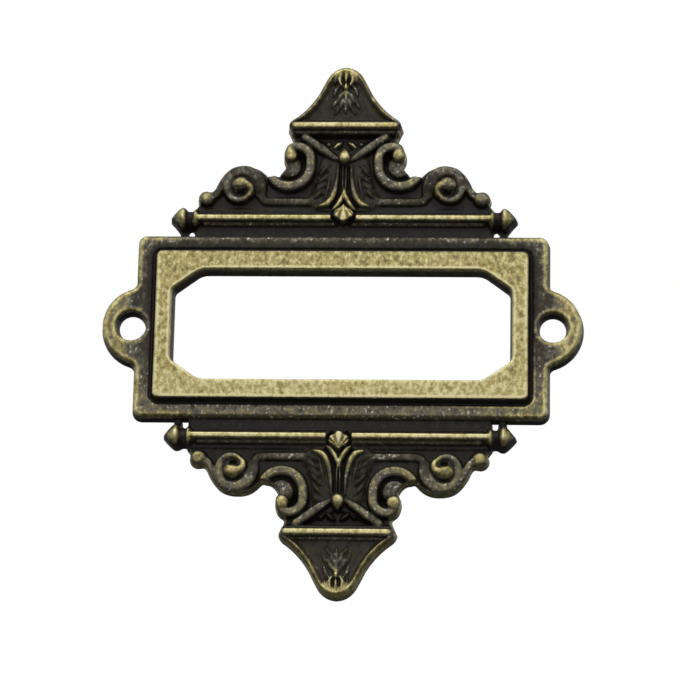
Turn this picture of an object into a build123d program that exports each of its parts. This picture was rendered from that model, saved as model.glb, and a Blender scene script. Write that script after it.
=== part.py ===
from build123d import *
from math import cos, pi, radians, sin
import os

# drawn flat: x right, y up, z out of the back face towards the viewer; turned upright at the end
# plate with its two screw ears
plate_half_w = 26.05
plate_half_h = 12.0
plate_thick = 2.25
plate_corner = 1.3
plate_edge = 0.4
ear_inset = 1.0
ear_radius = 5.2
ear_flare = 0.5
ear_centre = plate_half_w - ear_inset

# screws go through the ears, 52.8 mm apart: 3 mm wood screws with clearance and a small sunk mouth
screw_shift = 1.35
screw_dia = 3.0
screw_clearance = 0.2
sink_width = 0.45

# raised label frame: flat face, hollow moulding round it, small groove at the foot
frame_half_w = 23.25
frame_half_h = 9.45
frame_height = 3.4
frame_corner = 0.6
cove_width = 0.9
cove_floor = 2.05
cove_lip = 0.18

# window, its corners cut off
window_half_w = 21.2
window_half_h = 7.17
window_cut_w = 3.65
window_cut_h = 2.6
window_round = 0.9

# card rebate in the back
rebate_half_w = 23.5
rebate_half_h = 8.9
rebate_depth = 0.6
rebate_corner = 0.8

# pediment, heights in y measured from the plate's edge: ground that laps under the plate, and the rod
field_height = 1.3
field_lap = 0.7
rib_foot = 0.8
strip_half_w = 18.95
strip_top = 3.5
rod_y = 2.0
rod_radius = 0.78
rod_crest = 2.85

# turned finial at each end of the rod, tied to the plate by a thin web
collar_width = 0.35
collar_radius = 1.2
neck_radius = 1.1
acorn_radius = 1.55
collar_x = strip_half_w - 0.45
acorn_x = collar_x + collar_width + 1.4
tip_x = acorn_x + 1.13 * acorn_radius
finial_axis = 1.2
web_width = 1.0
web_height = 0.8

# volute beside the cap
volute_x = 12.9
volute_y = 6.3
volute_radius = 2.4
eye_turn_radius = 1.0
ring_radius = 0.64
ring_crest = 2.5
eye_radius = 0.8
eye_crest = 2.75

# band outside the volute that ends in a small bulb
band_gap = 0.9
band_radius = 0.36
band_crest = 2.05
bulb_x = 17.5
bulb_y = 4.85
bulb_radius = 0.85
bulb_crest = 2.2

# scroll shaped like a letter C under the shelf bar
scroll_x = 7.0
scroll_y = 9.1
scroll_radius = 2.7
scroll_rise = 0.85
scroll_turn = 1.7
scroll_hook = 1.0
scroll_band = 0.62
scroll_crest = 2.5
scroll_bulb = 0.85

# frieze rib between volute and leaf
frieze_y = 4.55
frieze_radius = 0.32
frieze_crest = 1.75

# centre leaf, bead, straps and palmette
leaf_foot = 3.2
leaf_height = 1.75
rib_radius = 0.24
rib_crest = 2.3
strap_radius = 0.45
strap_crest = 2.3
strap_reach = 4.9
bead_y = 10.1
bead_radius = 0.6
bead_crest = 2.85
palm_y = 2.65
palm_groove = 1.45
palm_rise = 1.2
palm_crest = 2.95

# shelf bar and bell cap
bar_y = 14.3
bar_radius = 0.88
bar_half = 6.25
bar_tip = 7.4
bar_crest = 3.15
cap_half = 6.8
cap_waist = 3.35
cap_waist_y = 19.05
cap_top = 22.4
crown_radius = 2.6
cap_field = 2.1
cap_inset = 0.62
cap_crest = 3.2


def both(part):
    return part + mirror(part, Plane.YZ)


def whole(half):
    # full outline from its right half
    return (half + mirror(half, Plane.YZ)).faces()[0]


def around(x, y, reach, turn):
    # point at a distance and direction from a centre
    return (x + reach * cos(radians(turn)), y + reach * sin(radians(turn)))


def ridge(path, radius, crest, steps=1):
    # rib along a path, in straight steps
    return rib([path @ (k / steps) for k in range(steps + 1)], radius, crest)


def rib(points, radius, crest):
    # rib with a bevelled top through points on the ground
    shoulder = crest - 0.6 * radius
    top = 0.42 * radius
    section = [(radius + 0.05, rib_foot), (radius, shoulder), (top, crest),
               (-top, crest), (-radius, shoulder), (-radius - 0.05, rib_foot)]
    along = points[1] - points[0]
    start = Plane(points[0], x_dir=Vector(0, 0, 1).cross(along), z_dir=along)
    profile = start * make_face(Polyline(*section, close=True))
    return sweep(profile, Polyline(*points), transition=Transition.RIGHT)


def turned(rings, sides=12):
    # faceted body round the Z axis, through rings of radius and height
    turn = [2 * pi * (k + 0.5) / sides for k in range(sides + 1)]
    loops = [[Vector(r * cos(a), r * sin(a), z) for a in turn] for r, z in rings]
    walls = [Face(Wire.make_polygon([low[k], low[k + 1], high[k + 1], high[k]]))
             for low, high in zip(loops, loops[1:]) for k in range(sides)]
    ends = [Face(Wire.make_polygon(loop[:-1])) for loop in (loops[0], loops[-1])]
    return Solid(Shell(walls + ends))


def boss(x, y, radius, crest):
    # faceted dome on a post
    rings = [(radius, rib_foot), (radius, crest - 0.62 * radius), (0.78 * radius, crest - 0.2 * radius),
             (0.36 * radius, crest)]
    return Pos(x, y, 0) * turned(rings)


def leaflet(x, y, turn, length, width, base, crest):
    # four sided leaf with a keel on straight walls, point to point along the turn
    belly = length * 0.6
    rim = [(0, 0), (belly, -width), (length, 0), (belly, width)]
    keel = Vector(belly, 0, crest)
    low, high = ([Vector(*p, z) for p in rim] for z in (rib_foot, base))
    faces = [Face(Wire.make_polygon(low))]
    for k in range(4):
        faces.append(Face(Wire.make_polygon([low[k], low[k - 1], high[k - 1], high[k]])))
        faces.append(Face(Wire.make_polygon([high[k], high[k - 1], keel])))
    return Pos(x, y, 0) * Rot(0, 0, turn) * Solid(Shell(faces))


def plate():
    outline = RectangleRounded(2 * plate_half_w, 2 * plate_half_h, plate_corner)
    outline += [Pos(side * ear_centre, 0) * Circle(ear_radius) for side in (-1, 1)]
    joints = [v for v in outline.vertices() if abs(v.Y) < ear_radius + 0.1 and abs(v.X) < ear_centre + 1]
    body = extrude(fillet(joints, ear_flare), plate_thick)
    return chamfer(body.edges().group_by(Axis.Z)[-1], plate_edge)


def label_frame():
    # raised block with a hollow moulding cut round it
    foot = cove_width + cove_lip
    outer = RectangleRounded(2 * (frame_half_w + foot), 2 * (frame_half_h + foot), frame_corner + foot)
    block = extrude(outer, frame_height)
    path = Wire(RectangleRounded(2 * frame_half_w, 2 * frame_half_h, frame_corner).edges())
    along = path % 0
    out = along.cross(Vector(0, 0, 1))
    out = out if out.dot(path @ 0) > 0 else out * -1
    drop_to = cove_floor - frame_height
    ledge = plate_thick - frame_height
    hollow = [(0, 0), (cove_width * 0.28, drop_to * 0.62), (cove_width * 0.7, drop_to), (cove_width, drop_to),
              (foot, ledge), (foot + 0.4, ledge), (foot + 0.4, 0.3), (0, 0.3)]
    start = Plane((path @ 0) + Vector(0, 0, frame_height), x_dir=out, z_dir=out.cross(Vector(0, 0, 1)))
    return block - sweep(start * make_face(Polyline(*hollow, close=True)), Pos(0, 0, frame_height) * path)


def window():
    w, h = window_half_w, window_half_h
    cw, ch = w - window_cut_w, h - window_cut_h
    corners = [(w, -ch), (w, ch), (cw, h), (-cw, h), (-w, ch), (-w, -ch), (-cw, -h), (cw, -h)]
    outline = make_face(Polyline(*corners, close=True))
    return extrude(fillet(outline.vertices(), window_round), frame_height + 1)


def acorn_outline():
    # flat shape of neck and acorn seen from the front
    c, a, t, r = collar_x, acorn_x, tip_x, acorn_radius
    upper = [(c - 0.2, collar_radius + 0.2), (c + 0.5, collar_radius + 0.1), (a - 0.7, neck_radius + 0.15),
             (a - 0.35, 0.97 * r), (a + 0.05, 1.04 * r), (a + 0.45, 0.97 * r),
             (t - 0.6, 0.58 * r), (t - 0.15, 0.26 * r)]
    points = upper + [(t, 0)] + [(x, -y) for x, y in reversed(upper)]
    return make_face(Polyline(*[(x, rod_y + y) for x, y in points], close=True))


def finial():
    # turned collar, neck and acorn at the end of the rod
    c, a, r = collar_x, acorn_x, acorn_radius
    rings = [(rod_radius, c - 0.6), (collar_radius, c), (collar_radius, c + collar_width),
             (neck_radius, c + collar_width + 0.2), (neck_radius, a - 0.6), (0.95 * r, a - 0.3), (r, a + 0.2),
             (0.65 * r, (a + tip_x) / 2 + 0.1), (0.13 * r, tip_x - 0.1)]
    body = Pos(0, rod_y, finial_axis) * Rot(0, 90, 0) * turned(rings)
    body -= Pos(a, rod_y, -1) * Box(8, 8, 2)
    web = Pos(a, rod_y / 2, web_height / 2) * Box(web_width, rod_y + 1, web_height)
    return body + extrude(acorn_outline(), finial_axis) + web


def rod():
    end = collar_x - 0.3
    return ridge(Line((-end, rod_y), (end, rod_y)), rod_radius, rod_crest)


def cap_flank():
    # bell curve of the cap's right side: hollow foot, straight neck, round crown
    foot, waist = (cap_half, bar_y + bar_radius), (cap_waist, cap_waist_y)
    hollow = ((cap_half + cap_waist) / 2 - 0.5, (foot[1] + waist[1]) / 2 - 0.07)
    neck, brow = (around(0, cap_top - crown_radius, crown_radius, turn) for turn in (24, 57))
    return ThreePointArc(foot, hollow, waist) + Line(waist, neck) + ThreePointArc(neck, brow, (0, cap_top))


def bulb_edge(start):
    # round the small bulb, then up the outside of the volute band
    x, y, r = bulb_x, bulb_y, bulb_radius + 0.27
    notch = (x - 0.65, y + 0.9)
    edge = Line(start, around(x, y, r, -38)) + ThreePointArc(around(x, y, r, -38), around(x, y, r, 40), notch)
    return edge + Line(notch, around(volute_x, volute_y, volute_radius + band_gap + 0.4, -6))


def volute_edge(notch):
    # over the top of the volute and down its tail to the notch beside the scroll
    x, y, r = volute_x, volute_y, volute_radius + ring_radius
    start, top = around(x, y, volute_radius + band_gap + 0.4, -6), around(x, y, r, 90)
    shoulder = around(x, y, r + 0.14, 16)
    edge = Line(start, shoulder) + ThreePointArc(shoulder, around(x, y, r, 50), top)
    return edge + ThreePointArc(top, around(x, y, r + 0.33, 127), notch)


def scroll_edge(notch):
    # hollow mouth of the scroll, then round its bulb to the foot of the bar
    x, y = scroll_x, scroll_y + scroll_rise
    mouth, brow = (x + 0.48, scroll_y), (x + 0.5, y + scroll_turn)
    edge = ThreePointArc(notch, (x + 1.2, scroll_y - 0.92), mouth)
    edge += ThreePointArc(mouth, (x + scroll_bulb, y + 0.45), brow)
    edge += ThreePointArc(brow, (x + 0.2, y + scroll_turn + 0.4), (x - 0.3, y + scroll_turn + 0.85))
    return edge + Line((x - 0.3, y + scroll_turn + 0.85), (bar_tip - 0.4, bar_y - bar_radius))


def ground_outline():
    # right half of the pediment outline, plate side first
    base = -field_lap
    notch = (scroll_x + 2.4, scroll_y - 1.23)
    edge = Polyline((0, base), (strip_half_w, base), (strip_half_w, strip_top))
    edge += bulb_edge((strip_half_w, strip_top)) + volute_edge(notch) + scroll_edge(notch)
    edge += Polyline((bar_tip - 0.4, bar_y - bar_radius), (bar_tip, bar_y), (cap_half, bar_y + bar_radius))
    edge += cap_flank() + Line((0, cap_top), (0, base))
    return make_face(edge)


def cap_outline():
    edge = Polyline((0, bar_y), (cap_half, bar_y), (cap_half, bar_y + bar_radius)) + cap_flank()
    return make_face(edge + Line((0, cap_top), (0, bar_y)))


def volute():
    # spiral that tightens and narrows towards the eye, its tail on the frieze
    x, y, wide, tight = volute_x, volute_y, volute_radius, eye_turn_radius
    points = [Vector(x - wide, frieze_y)]
    for turn in range(0, 400, 20):
        reach = wide - (wide - tight) * (turn / 360) ** 2.7
        points.append(Vector(*around(x, y, reach, 180 - turn)))
    ring = rib(points[:18], ring_radius, ring_crest) + rib(points[16:], 0.7 * ring_radius, ring_crest)
    return ring + boss(x + 0.1, y + 0.45, eye_radius, eye_crest)


def small_scroll():
    path = CenterArc((volute_x - 0.3, volute_y - 0.3), volute_radius + band_gap, 38, -38)
    end = path @ 1
    curl = ThreePointArc(end, end + Vector(0.25, -0.73), (bulb_x - 0.7, bulb_y))
    band = ridge(path, band_radius, band_crest, 3) + ridge(curl, band_radius, band_crest, 3)
    return band + boss(bulb_x, bulb_y, bulb_radius, bulb_crest)


def c_scroll():
    x, y, r = scroll_x, scroll_y, scroll_radius
    path = CenterArc((x, y), r, -42, -138)
    path += Line((x - r, y), (x - r, y + scroll_rise))
    path += CenterArc((x - r + scroll_turn, y + scroll_rise), scroll_turn, 180, -90)
    hook = (x - r + scroll_turn, y + scroll_rise + scroll_turn - scroll_hook)
    path += CenterArc(hook, scroll_hook, 90, -90)
    band = ridge(Wire(path.edges()), scroll_band, scroll_crest, 17)
    return band + boss(hook[0] + scroll_hook, hook[1] - 0.15, scroll_bulb, scroll_crest + 0.1)


def leaf():
    foot, top = leaf_foot, bead_y - 0.4
    half = [(0, foot), (3.2, foot + 0.2), (3.5, foot + 1.0), (2.3, foot + 2.1), (1.7, foot + 3.8),
            (1.3, foot + 5.8), (0, top)]
    shape = whole(make_face(Polyline(*half, close=True)))
    ground = Pos(0, 0, rib_foot) * extrude(shape, leaf_height - rib_foot)
    outer = ridge(CenterArc((4.0, foot + 3.6), 3.1, 145, 90), rib_radius, rib_crest, 6)
    leg = ridge(CenterArc((2.6, foot + 2.8), 2.55, 180, 65), rib_radius, rib_crest, 4)
    stem = ridge(Line((0, top - 0.1), (0, foot + 2.6)), rib_radius, rib_crest - 0.1)
    return ground + both(outer + leg) + stem


def palmette():
    base = palm_crest - palm_rise
    centre = leaflet(0, palm_y + 1.45, -90, 2.3, 0.55, base, palm_crest)
    side = leaflet(0.2, palm_y + 1.15, -56, 1.9, 0.42, base, palm_crest - 0.1)
    return centre + both(side)


def straps():
    strap = ridge(Line((0.7, bead_y - 0.15), (strap_reach, bar_y - 1.35)), strap_radius, strap_crest)
    rings = [(bead_radius, rib_foot), (bead_radius, bead_crest - 0.9), (0.7 * bead_radius, bead_crest - 0.2),
             (0.2, bead_crest)]
    tip = leaflet(0, bead_y + 1.1, -90, 1.9, 0.42, rib_foot + 0.3, bead_crest - 0.35)
    return both(strap) + Pos(0, bead_y, 0) * turned(rings) + tip


def shelf_bar():
    axis = bar_crest - bar_radius
    rings = [(0.06, -bar_tip), (bar_radius, -bar_half), (bar_radius, bar_half), (0.06, bar_tip)]
    body = Pos(0, bar_y, axis) * Rot(0, 90, 0) * turned(rings)
    upper = [(-bar_tip, 0), (-bar_half, bar_radius), (bar_half, bar_radius), (bar_tip, 0)]
    lower = [(bar_half, -bar_radius), (-bar_half, -bar_radius)]
    foot = Pos(0, bar_y, rib_foot) * make_face(Polyline(*upper, *lower, close=True))
    return body + extrude(foot, axis - rib_foot, dir=(0, 0, 1))


def cap():
    body = extrude(whole(cap_outline()), cap_field)
    flank = Wire(cap_flank().edges())
    stops = [(0.05 + 0.95 * k / 8) for k in range(8)]
    side = [flank @ t + (flank % t).cross(Vector(0, 0, -1)) * cap_inset for t in stops]
    points = side + [Vector(0, cap_top - cap_inset)] + [Vector(-p.X, p.Y) for p in reversed(side)]
    top, base = cap_top - 1.0, cap_field - 0.1
    leaves = leaflet(0.35, top, -58, 2.4, 0.3, base, cap_field + 0.65)
    leaves += leaflet(0.55, top - 1.6, -60, 2.0, 0.28, base, cap_field + 0.55)
    leaves += leaflet(0.1, top - 2.3, -62, 2.3, 0.3, base, cap_field + 0.65)
    centre = leaflet(0, top, -90, 2.2, 0.5, base, cap_field + 0.8)
    centre += leaflet(0, top - 2.2, -90, 2.6, 0.32, base, cap_field + 0.7)
    return body + rib(points, cap_inset - 0.12, cap_crest) + both(leaves) + centre


def palm_well():
    # round groove cut into the rod, closed off at the leaf
    well = Pos(0, palm_y, 0) * turned([(palm_groove, field_height), (palm_groove, rod_crest + 2)], 16)
    return well - Pos(0, leaf_foot + 2.2, 2) * Box(4, 4, 8)


def pediment():
    ground = extrude(whole(ground_outline()), field_height)
    frieze = Line((4.4, frieze_y), (volute_x - volute_radius + 0.1, frieze_y))
    side = volute() + small_scroll() + c_scroll() + finial() + ridge(frieze, frieze_radius, frieze_crest)
    body = ground + both(side) + rod() + leaf() + straps() + cap() + shelf_bar()
    return body - palm_well() + palmette()


def screw_holes():
    radius = (screw_dia + screw_clearance) / 2
    cut = Part()
    for side in (-1, 1):
        hole = Cylinder(radius, 3 * plate_thick)
        mouth = Pos(0, 0, plate_thick - sink_width / 2) * Cone(radius, radius + sink_width, sink_width)
        cut += Pos(side * (ear_centre + screw_shift), 0) * (hole + mouth)
    return cut


def holder():
    top = Pos(0, plate_half_h, 0) * pediment()
    body = plate() + label_frame() + top + mirror(top, Plane.XZ)
    rebate = RectangleRounded(2 * rebate_half_w, 2 * rebate_half_h, rebate_corner)
    body -= Pos(0, 0, -0.01) * extrude(rebate, rebate_depth + 0.01)
    return body - window() - screw_holes()


os.makedirs("parts", exist_ok=True)
label_holder = Rot(90, 0, 0) * holder()
solids = label_holder.solids()
print("solids", len(solids), "volume", round(label_holder.volume, 1), label_holder.bounding_box())
export_step(solids[0] if len(solids) == 1 else label_holder, "parts/label_holder.step")
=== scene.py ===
import bpy
import numpy as np
from math import cos, hypot, radians, sin
from mathutils import Matrix, Vector


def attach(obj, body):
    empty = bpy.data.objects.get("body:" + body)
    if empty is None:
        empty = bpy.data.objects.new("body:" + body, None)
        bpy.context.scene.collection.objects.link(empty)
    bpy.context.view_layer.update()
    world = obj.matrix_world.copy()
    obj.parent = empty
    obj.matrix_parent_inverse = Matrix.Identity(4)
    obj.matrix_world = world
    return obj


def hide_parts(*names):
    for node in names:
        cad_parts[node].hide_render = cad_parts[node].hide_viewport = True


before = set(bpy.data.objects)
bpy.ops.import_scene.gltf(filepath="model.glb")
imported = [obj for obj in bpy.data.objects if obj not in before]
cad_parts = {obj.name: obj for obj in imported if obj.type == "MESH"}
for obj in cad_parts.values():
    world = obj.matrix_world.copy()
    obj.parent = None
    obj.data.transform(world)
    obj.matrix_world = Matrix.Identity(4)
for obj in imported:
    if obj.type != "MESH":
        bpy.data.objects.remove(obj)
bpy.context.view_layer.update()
mm = 0.001


# the holder is drawn flat, in mm: x to the right, z up, and heights from the back towards the viewer

def smoothStep(low, high, value):
    # 0 below low, 1 above high, soft between; falls instead of rising where low is the larger
    t = np.clip((value - low) / (high - low), 0, 1)
    return t * t * (3 - 2 * t)


def smoothMax(a, b, soft):
    # the higher of two heights, with a small fillet where they meet
    t = np.clip(0.5 + 0.5 * (a - b) / soft, 0, 1)
    return b + (a - b) * t + soft * t * (1 - t)


def boxField(x, z, halfWidth, halfHeight, corner):
    # signed distance to a rectangle with round corners, negative inside
    across = np.abs(x) - halfWidth + corner
    up = np.abs(z) - halfHeight + corner
    away = np.hypot(np.maximum(across, 0), np.maximum(up, 0))
    return away + np.minimum(np.maximum(across, up), 0) - corner


def roundJoin(a, b, radius):
    # two outlines joined with a fillet
    fillet = np.hypot(np.maximum(radius - a, 0), np.maximum(radius - b, 0))
    return np.maximum(radius, np.minimum(a, b)) - fillet


def roundMeet(a, b, radius):
    # what two outlines share, its corner rounded
    rounding = np.hypot(np.maximum(radius + a, 0), np.maximum(radius + b, 0))
    return np.minimum(-radius, np.maximum(a, b)) + rounding


def edgeDrop(inside, radius):
    # how far a rounded edge has fallen at a distance inside the outline
    reach = np.clip(radius - inside, 0, radius)
    return radius - np.sqrt(radius ** 2 - reach ** 2)


def pathField(x, z, path):
    # distance to a path and the share of its length where the nearest point lies
    path = np.array(path, float)
    steps = path[1:] - path[:-1]
    lengths = np.hypot(steps[:, 0], steps[:, 1])
    best, along, start = np.full(x.shape, 1e9), np.zeros(x.shape), 0.0
    for point, step, length in zip(path, steps, lengths):
        t = np.clip(((x - point[0]) * step[0] + (z - point[1]) * step[1]) / length ** 2, 0, 1)
        away = np.hypot(x - point[0] - t * step[0], z - point[1] - t * step[1])
        near = away < best
        best[near] = away[near]
        along[near] = (start + t * length)[near] / lengths.sum()
        start += length
    return best, along


def outlineField(x, z, outline):
    # signed distance to a closed outline, negative inside
    away, _ = pathField(x, z, outline + outline[:1])
    inside = np.zeros(x.shape, bool)
    for (ax, az), (bx, bz) in zip(outline, outline[1:] + outline[:1]):
        if az != bz:
            crosses = ((az > z) != (bz > z)) & (x < (bx - ax) * (z - az) / (bz - az) + ax)
            inside ^= crosses
    return np.where(inside, -away, away)


def mirrored(half):
    # an outline drawn to the right of the middle, closed by its own reflection
    return half + [(-x, z) for x, z in reversed(half)]


def arc(x, z, radius, start, end, steps=12):
    turns = [radians(start + (end - start) * k / steps) for k in range(steps + 1)]
    return [(x + radius * cos(a), z + radius * sin(a)) for a in turns]


def bow(a, b, c, steps=10):
    # curve from a to c that passes b half way
    ctrl = [2 * b[k] - (a[k] + c[k]) / 2 for k in (0, 1)]
    return [tuple((1 - t) ** 2 * a[k] + 2 * t * (1 - t) * ctrl[k] + t * t * c[k] for k in (0, 1))
            for t in (s / steps for s in range(steps + 1))]


def flow(points, steps=8):
    # smooth path through given points
    p = [np.array(q, float) for q in points]
    p = [2 * p[0] - p[1]] + p + [2 * p[-1] - p[-2]]
    path = []
    for a, b, c, d in zip(p, p[1:], p[2:], p[3:]):
        for k in range(steps):
            t = k / steps
            path.append(0.5 * (2 * b + (c - a) * t + (2 * a - 5 * b + 4 * c - d) * t ** 2
                               + (3 * b - a - 3 * c + d) * t ** 3))
    return [tuple(q) for q in path] + [tuple(p[-2])]


def stopsAt(values, share):
    # stops spread evenly along a path, read at a share of its length; a single value holds all along
    if np.ndim(values) == 0:
        return values
    return np.interp(share, np.linspace(0, 1, len(values)), values)


class Relief:
    # height field that ribs, domes and grooves are worked into; wearAndLight is how bright each form is worn,
    # with painted highlights and painted shade added to it in places
    def __init__(self, xs, zs, ground, wearAndLight):
        self.x, self.z = np.meshgrid(xs, zs)
        self.h = np.full(self.x.shape, float(ground))
        self.wearAndLight = np.full(self.x.shape, float(wearAndLight))

    def raiseTo(self, shape, inside, soft, wearAndLight):
        # a new form with its wear and any painted light, blended into what it stands on
        share = np.clip(0.5 + 0.5 * (shape - self.h) / soft, 0, 1) * inside
        self.wearAndLight = self.wearAndLight + (wearAndLight - self.wearAndLight) * share
        self.h = np.where(inside, smoothMax(self.h, shape, soft), self.h)

    def swell(self, reach, crest, wearAndLight, foot=1.2, soft=0.1, full=2.0, bare=(0.35, 0.9)):
        # rounded form; reach is 0 at its middle and 1 at its foot, bare is where its wear fades out
        t = np.clip(reach, 0, 1)
        shape = foot + (crest - foot) * (1 - t ** full) ** 0.5
        self.raiseTo(shape, t < 1, soft, wearAndLight * (1 - 0.95 * smoothStep(bare[0], bare[1], t)))

    def rib(self, path, width, crest, wearAndLight, **form):
        # width, crest and wearAndLight may be lists of stops along the path
        away, along = pathField(self.x, self.z, path)
        self.swell(away / stopsAt(width, along), stopsAt(crest, along), stopsAt(wearAndLight, along), **form)

    def dome(self, x, z, reachX, reachZ, crest, wearAndLight, turn=0, **form):
        c, s = cos(radians(turn)), sin(radians(turn))
        u = ((self.x - x) * c + (self.z - z) * s) / reachX
        v = ((self.z - z) * c - (self.x - x) * s) / reachZ
        self.swell(np.hypot(u, v), crest, wearAndLight, **form)

    def lay(self, inside, height, wearAndLight, slope=0.25, soft=0.06):
        # flat pad whose edge slopes off over a short distance
        shape = np.where(inside > 0, height, height - 0.7 * np.clip(-inside / slope, 0, 1))
        self.raiseTo(shape, inside > -slope, soft, wearAndLight)

    def groove(self, path, width, depth, taper=1):
        # soft cut along a path; taper may be a list of stops too
        away, along = pathField(self.x, self.z, path)
        cut = stopsAt(taper, along) * np.exp(-(away / width) ** 2)
        self.h = self.h - depth * cut
        self.wearAndLight = self.wearAndLight * (1 - 0.8 * cut)


def spread(values, weight, cells):
    # blur by a bell curve, counting only cells of the object
    reach = int(3 * cells)
    kernel = np.exp(-0.5 * (np.arange(-reach, reach + 1) / cells) ** 2)

    def sweep(a):
        for axis in (0, 1):
            pad = [(reach, reach) if k == axis else (0, 0) for k in (0, 1)]
            wide, total = np.pad(a, pad), np.zeros(a.shape)
            for k, share in enumerate(kernel):
                part = wide[k:k + a.shape[0], :] if axis == 0 else wide[:, k:k + a.shape[1]]
                total += share * part
            a = total
        return a
    return sweep(values * weight) / np.maximum(sweep(weight), 1e-9)


def gridSample(xs, zs, values, x, z):
    # value of a grid at any point, straight between its corners
    i = np.clip(np.searchsorted(xs, x) - 1, 0, len(xs) - 2)
    j = np.clip(np.searchsorted(zs, z) - 1, 0, len(zs) - 2)
    u, v = (x - xs[i]) / (xs[i + 1] - xs[i]), (z - zs[j]) / (zs[j + 1] - zs[j])
    low = values[j, i] * (1 - u) + values[j, i + 1] * u
    return low * (1 - v) + (values[j + 1, i] * (1 - u) + values[j + 1, i + 1] * u) * v


def cutOut(xs, zs, field, snap=0.18):
    # grid cells inside the outline (field below zero), those across it clipped to it; a corner whose
    # way to the outline is a smaller share of its cell than snap moves onto it
    rows, cols = field.shape
    x, z = (a.copy() for a in np.meshgrid(xs, zs))
    field = field.copy()
    for dj, di in ((0, 1), (0, -1), (1, 0), (-1, 0)):
        here = (slice(max(0, -dj), rows - max(0, dj)), slice(max(0, -di), cols - max(0, di)))
        there = (slice(max(0, dj), rows - max(0, -dj)), slice(max(0, di), cols - max(0, -di)))
        a, b = field[here], field[there]
        t = np.where((a < 0) != (b < 0), a / np.where(a == b, 1, a - b), 1)
        near = (t < snap) & (a != 0) & (b != 0)
        x[here] = np.where(near, x[here] + t * (x[there] - x[here]), x[here])
        z[here] = np.where(near, z[here] + t * (z[there] - z[here]), z[here])
        field[here] = np.where(near, 0, a)
    kept = field <= 0
    index = np.where(kept, np.cumsum(kept).reshape(rows, cols) - 1, -1)
    points = [np.stack([x[kept], z[kept]], 1)]
    count, extra, crossing = int(kept.sum()), [], {}
    corners = [index[:-1, :-1], index[:-1, 1:], index[1:, 1:], index[1:, :-1]]
    whole = np.all([c >= 0 for c in corners], axis=0)
    faces = np.stack([c[whole] for c in corners], 1).tolist()
    part = np.any([c >= 0 for c in corners], axis=0) & ~whole
    for j, i in zip(*np.nonzero(part)):
        ring = [(j, i), (j, i + 1), (j + 1, i + 1), (j + 1, i)]
        loop = []
        for p, q in zip(ring, ring[1:] + ring[:1]):
            if field[p] <= 0:
                loop.append(int(index[p]))
            if field[p] * field[q] < 0:
                key = (min(p, q), max(p, q))
                if key not in crossing:
                    t = field[p] / (field[p] - field[q])
                    crossing[key] = count + len(extra)
                    extra.append((x[p] + t * (x[q] - x[p]), z[p] + t * (z[q] - z[p])))
                loop.append(crossing[key])
        if len(loop) >= 3:
            faces.append(loop)
    if extra:
        points.append(np.array(extra))
    return np.concatenate(points), faces


def rimEdges(faces):
    # directed edges that only one face has
    edges = {(a, b) for f in faces for a, b in zip(f, f[1:] + f[:1])}
    return [(a, b) for a, b in edges if (b, a) not in edges]


def casting(name, xs, zs, field, height, wearAndLight, wall, backHeight=None):
    # front from the height field inside the outline, drafted walls, and a back, all closed
    flat, faces = cutOut(xs, zs, field)
    used = np.unique([k for f in faces for k in f])
    renumber = np.full(len(flat), -1)
    renumber[used] = np.arange(len(used))
    flat = flat[used]
    faces = [[int(renumber[k]) for k in f] for f in faces]
    x, z = flat.T
    top = gridSample(xs, zs, height, x, z)
    slopeZ, slopeX = np.gradient(field, zs, xs)  # points outwards
    nx, nz = gridSample(xs, zs, slopeX, x, z), gridSample(xs, zs, slopeZ, x, z)
    size = np.maximum(np.hypot(nx, nz), 1e-6)
    rim = rimEdges(faces)
    onRim = sorted({k for e in rim for k in e})
    place = {k: i for i, k in enumerate(onRim)}
    rx, rz, rTop = x[onRim], z[onRim], top[onRim]
    rnx, rnz = (nx / size)[onRim], (nz / size)[onRim]
    footHeight, draft, wallWearAndLight = wall(rx, rz)
    verts = [np.stack([x, z, top], 1)]
    untouched, ringShare = 0.04, (1.0, 0.8, 0.0)  # the wall's share of wear and painted light dies out towards its foot
    levels, base = len(ringShare) + 1, len(x)
    for k in range(1, levels):
        t = k / (levels - 1)
        step = [rx + rnx * draft * t, rz + rnz * draft * t, rTop + (footHeight - rTop) * t]
        verts.append(np.stack(step, 1))
    ring = lambda level, k: k if level == 0 else base + (level - 1) * len(onRim) + place[k]
    for a, b in rim:
        for level in range(levels - 1):
            faces.append([ring(level, b), ring(level, a), ring(level + 1, a), ring(level + 1, b)])
    frontCount = len(faces)
    if backHeight:
        start = base + (levels - 1) * len(onRim)
        inner = [k for k in range(base) if k not in place]
        backOf = {k: start + i for i, k in enumerate(inner)}
        backOf.update({k: ring(levels - 1, k) for k in onRim})
        verts.append(np.stack([x[inner], z[inner], backHeight(x[inner], z[inner])], 1))
        count = len(faces) - len(rim) * (levels - 1)
        faces += [[backOf[k] for k in reversed(f)] for f in faces[:count]]
    else:
        faces += backLoops(rim, lambda k: ring(levels - 1, k))
    verts = np.concatenate(verts)
    mesh = bpy.data.meshes.new(name)
    mesh.from_pydata([(p[0] * mm, -p[2] * mm, p[1] * mm) for p in verts.tolist()], [], faces)
    mesh.polygons.foreach_set("use_smooth", [k < frontCount for k in range(len(faces))])
    mesh.validate()
    wornAndLit = np.full(len(verts), untouched)
    wornAndLit[:base] = gridSample(xs, zs, wearAndLight, x, z)
    sides = np.maximum(wornAndLit[onRim] * 0.1, wallWearAndLight)
    for k, share in enumerate(ringShare):
        part = slice(base + k * len(onRim), base + (k + 1) * len(onRim))
        wornAndLit[part] = np.maximum(sides * share, untouched)
    # the wearAndLight attribute holds wear together with the painted highlights and painted shade set into it
    layer = mesh.attributes.new("wearAndLight", "FLOAT", "POINT")
    layer.data.foreach_set("value", wornAndLit.astype(np.float32))
    piece = bpy.data.objects.new(name, mesh)
    bpy.context.scene.collection.objects.link(piece)
    print(name, len(verts), "points", sum(len(f) - 2 for f in faces), "triangles")
    return piece


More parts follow.
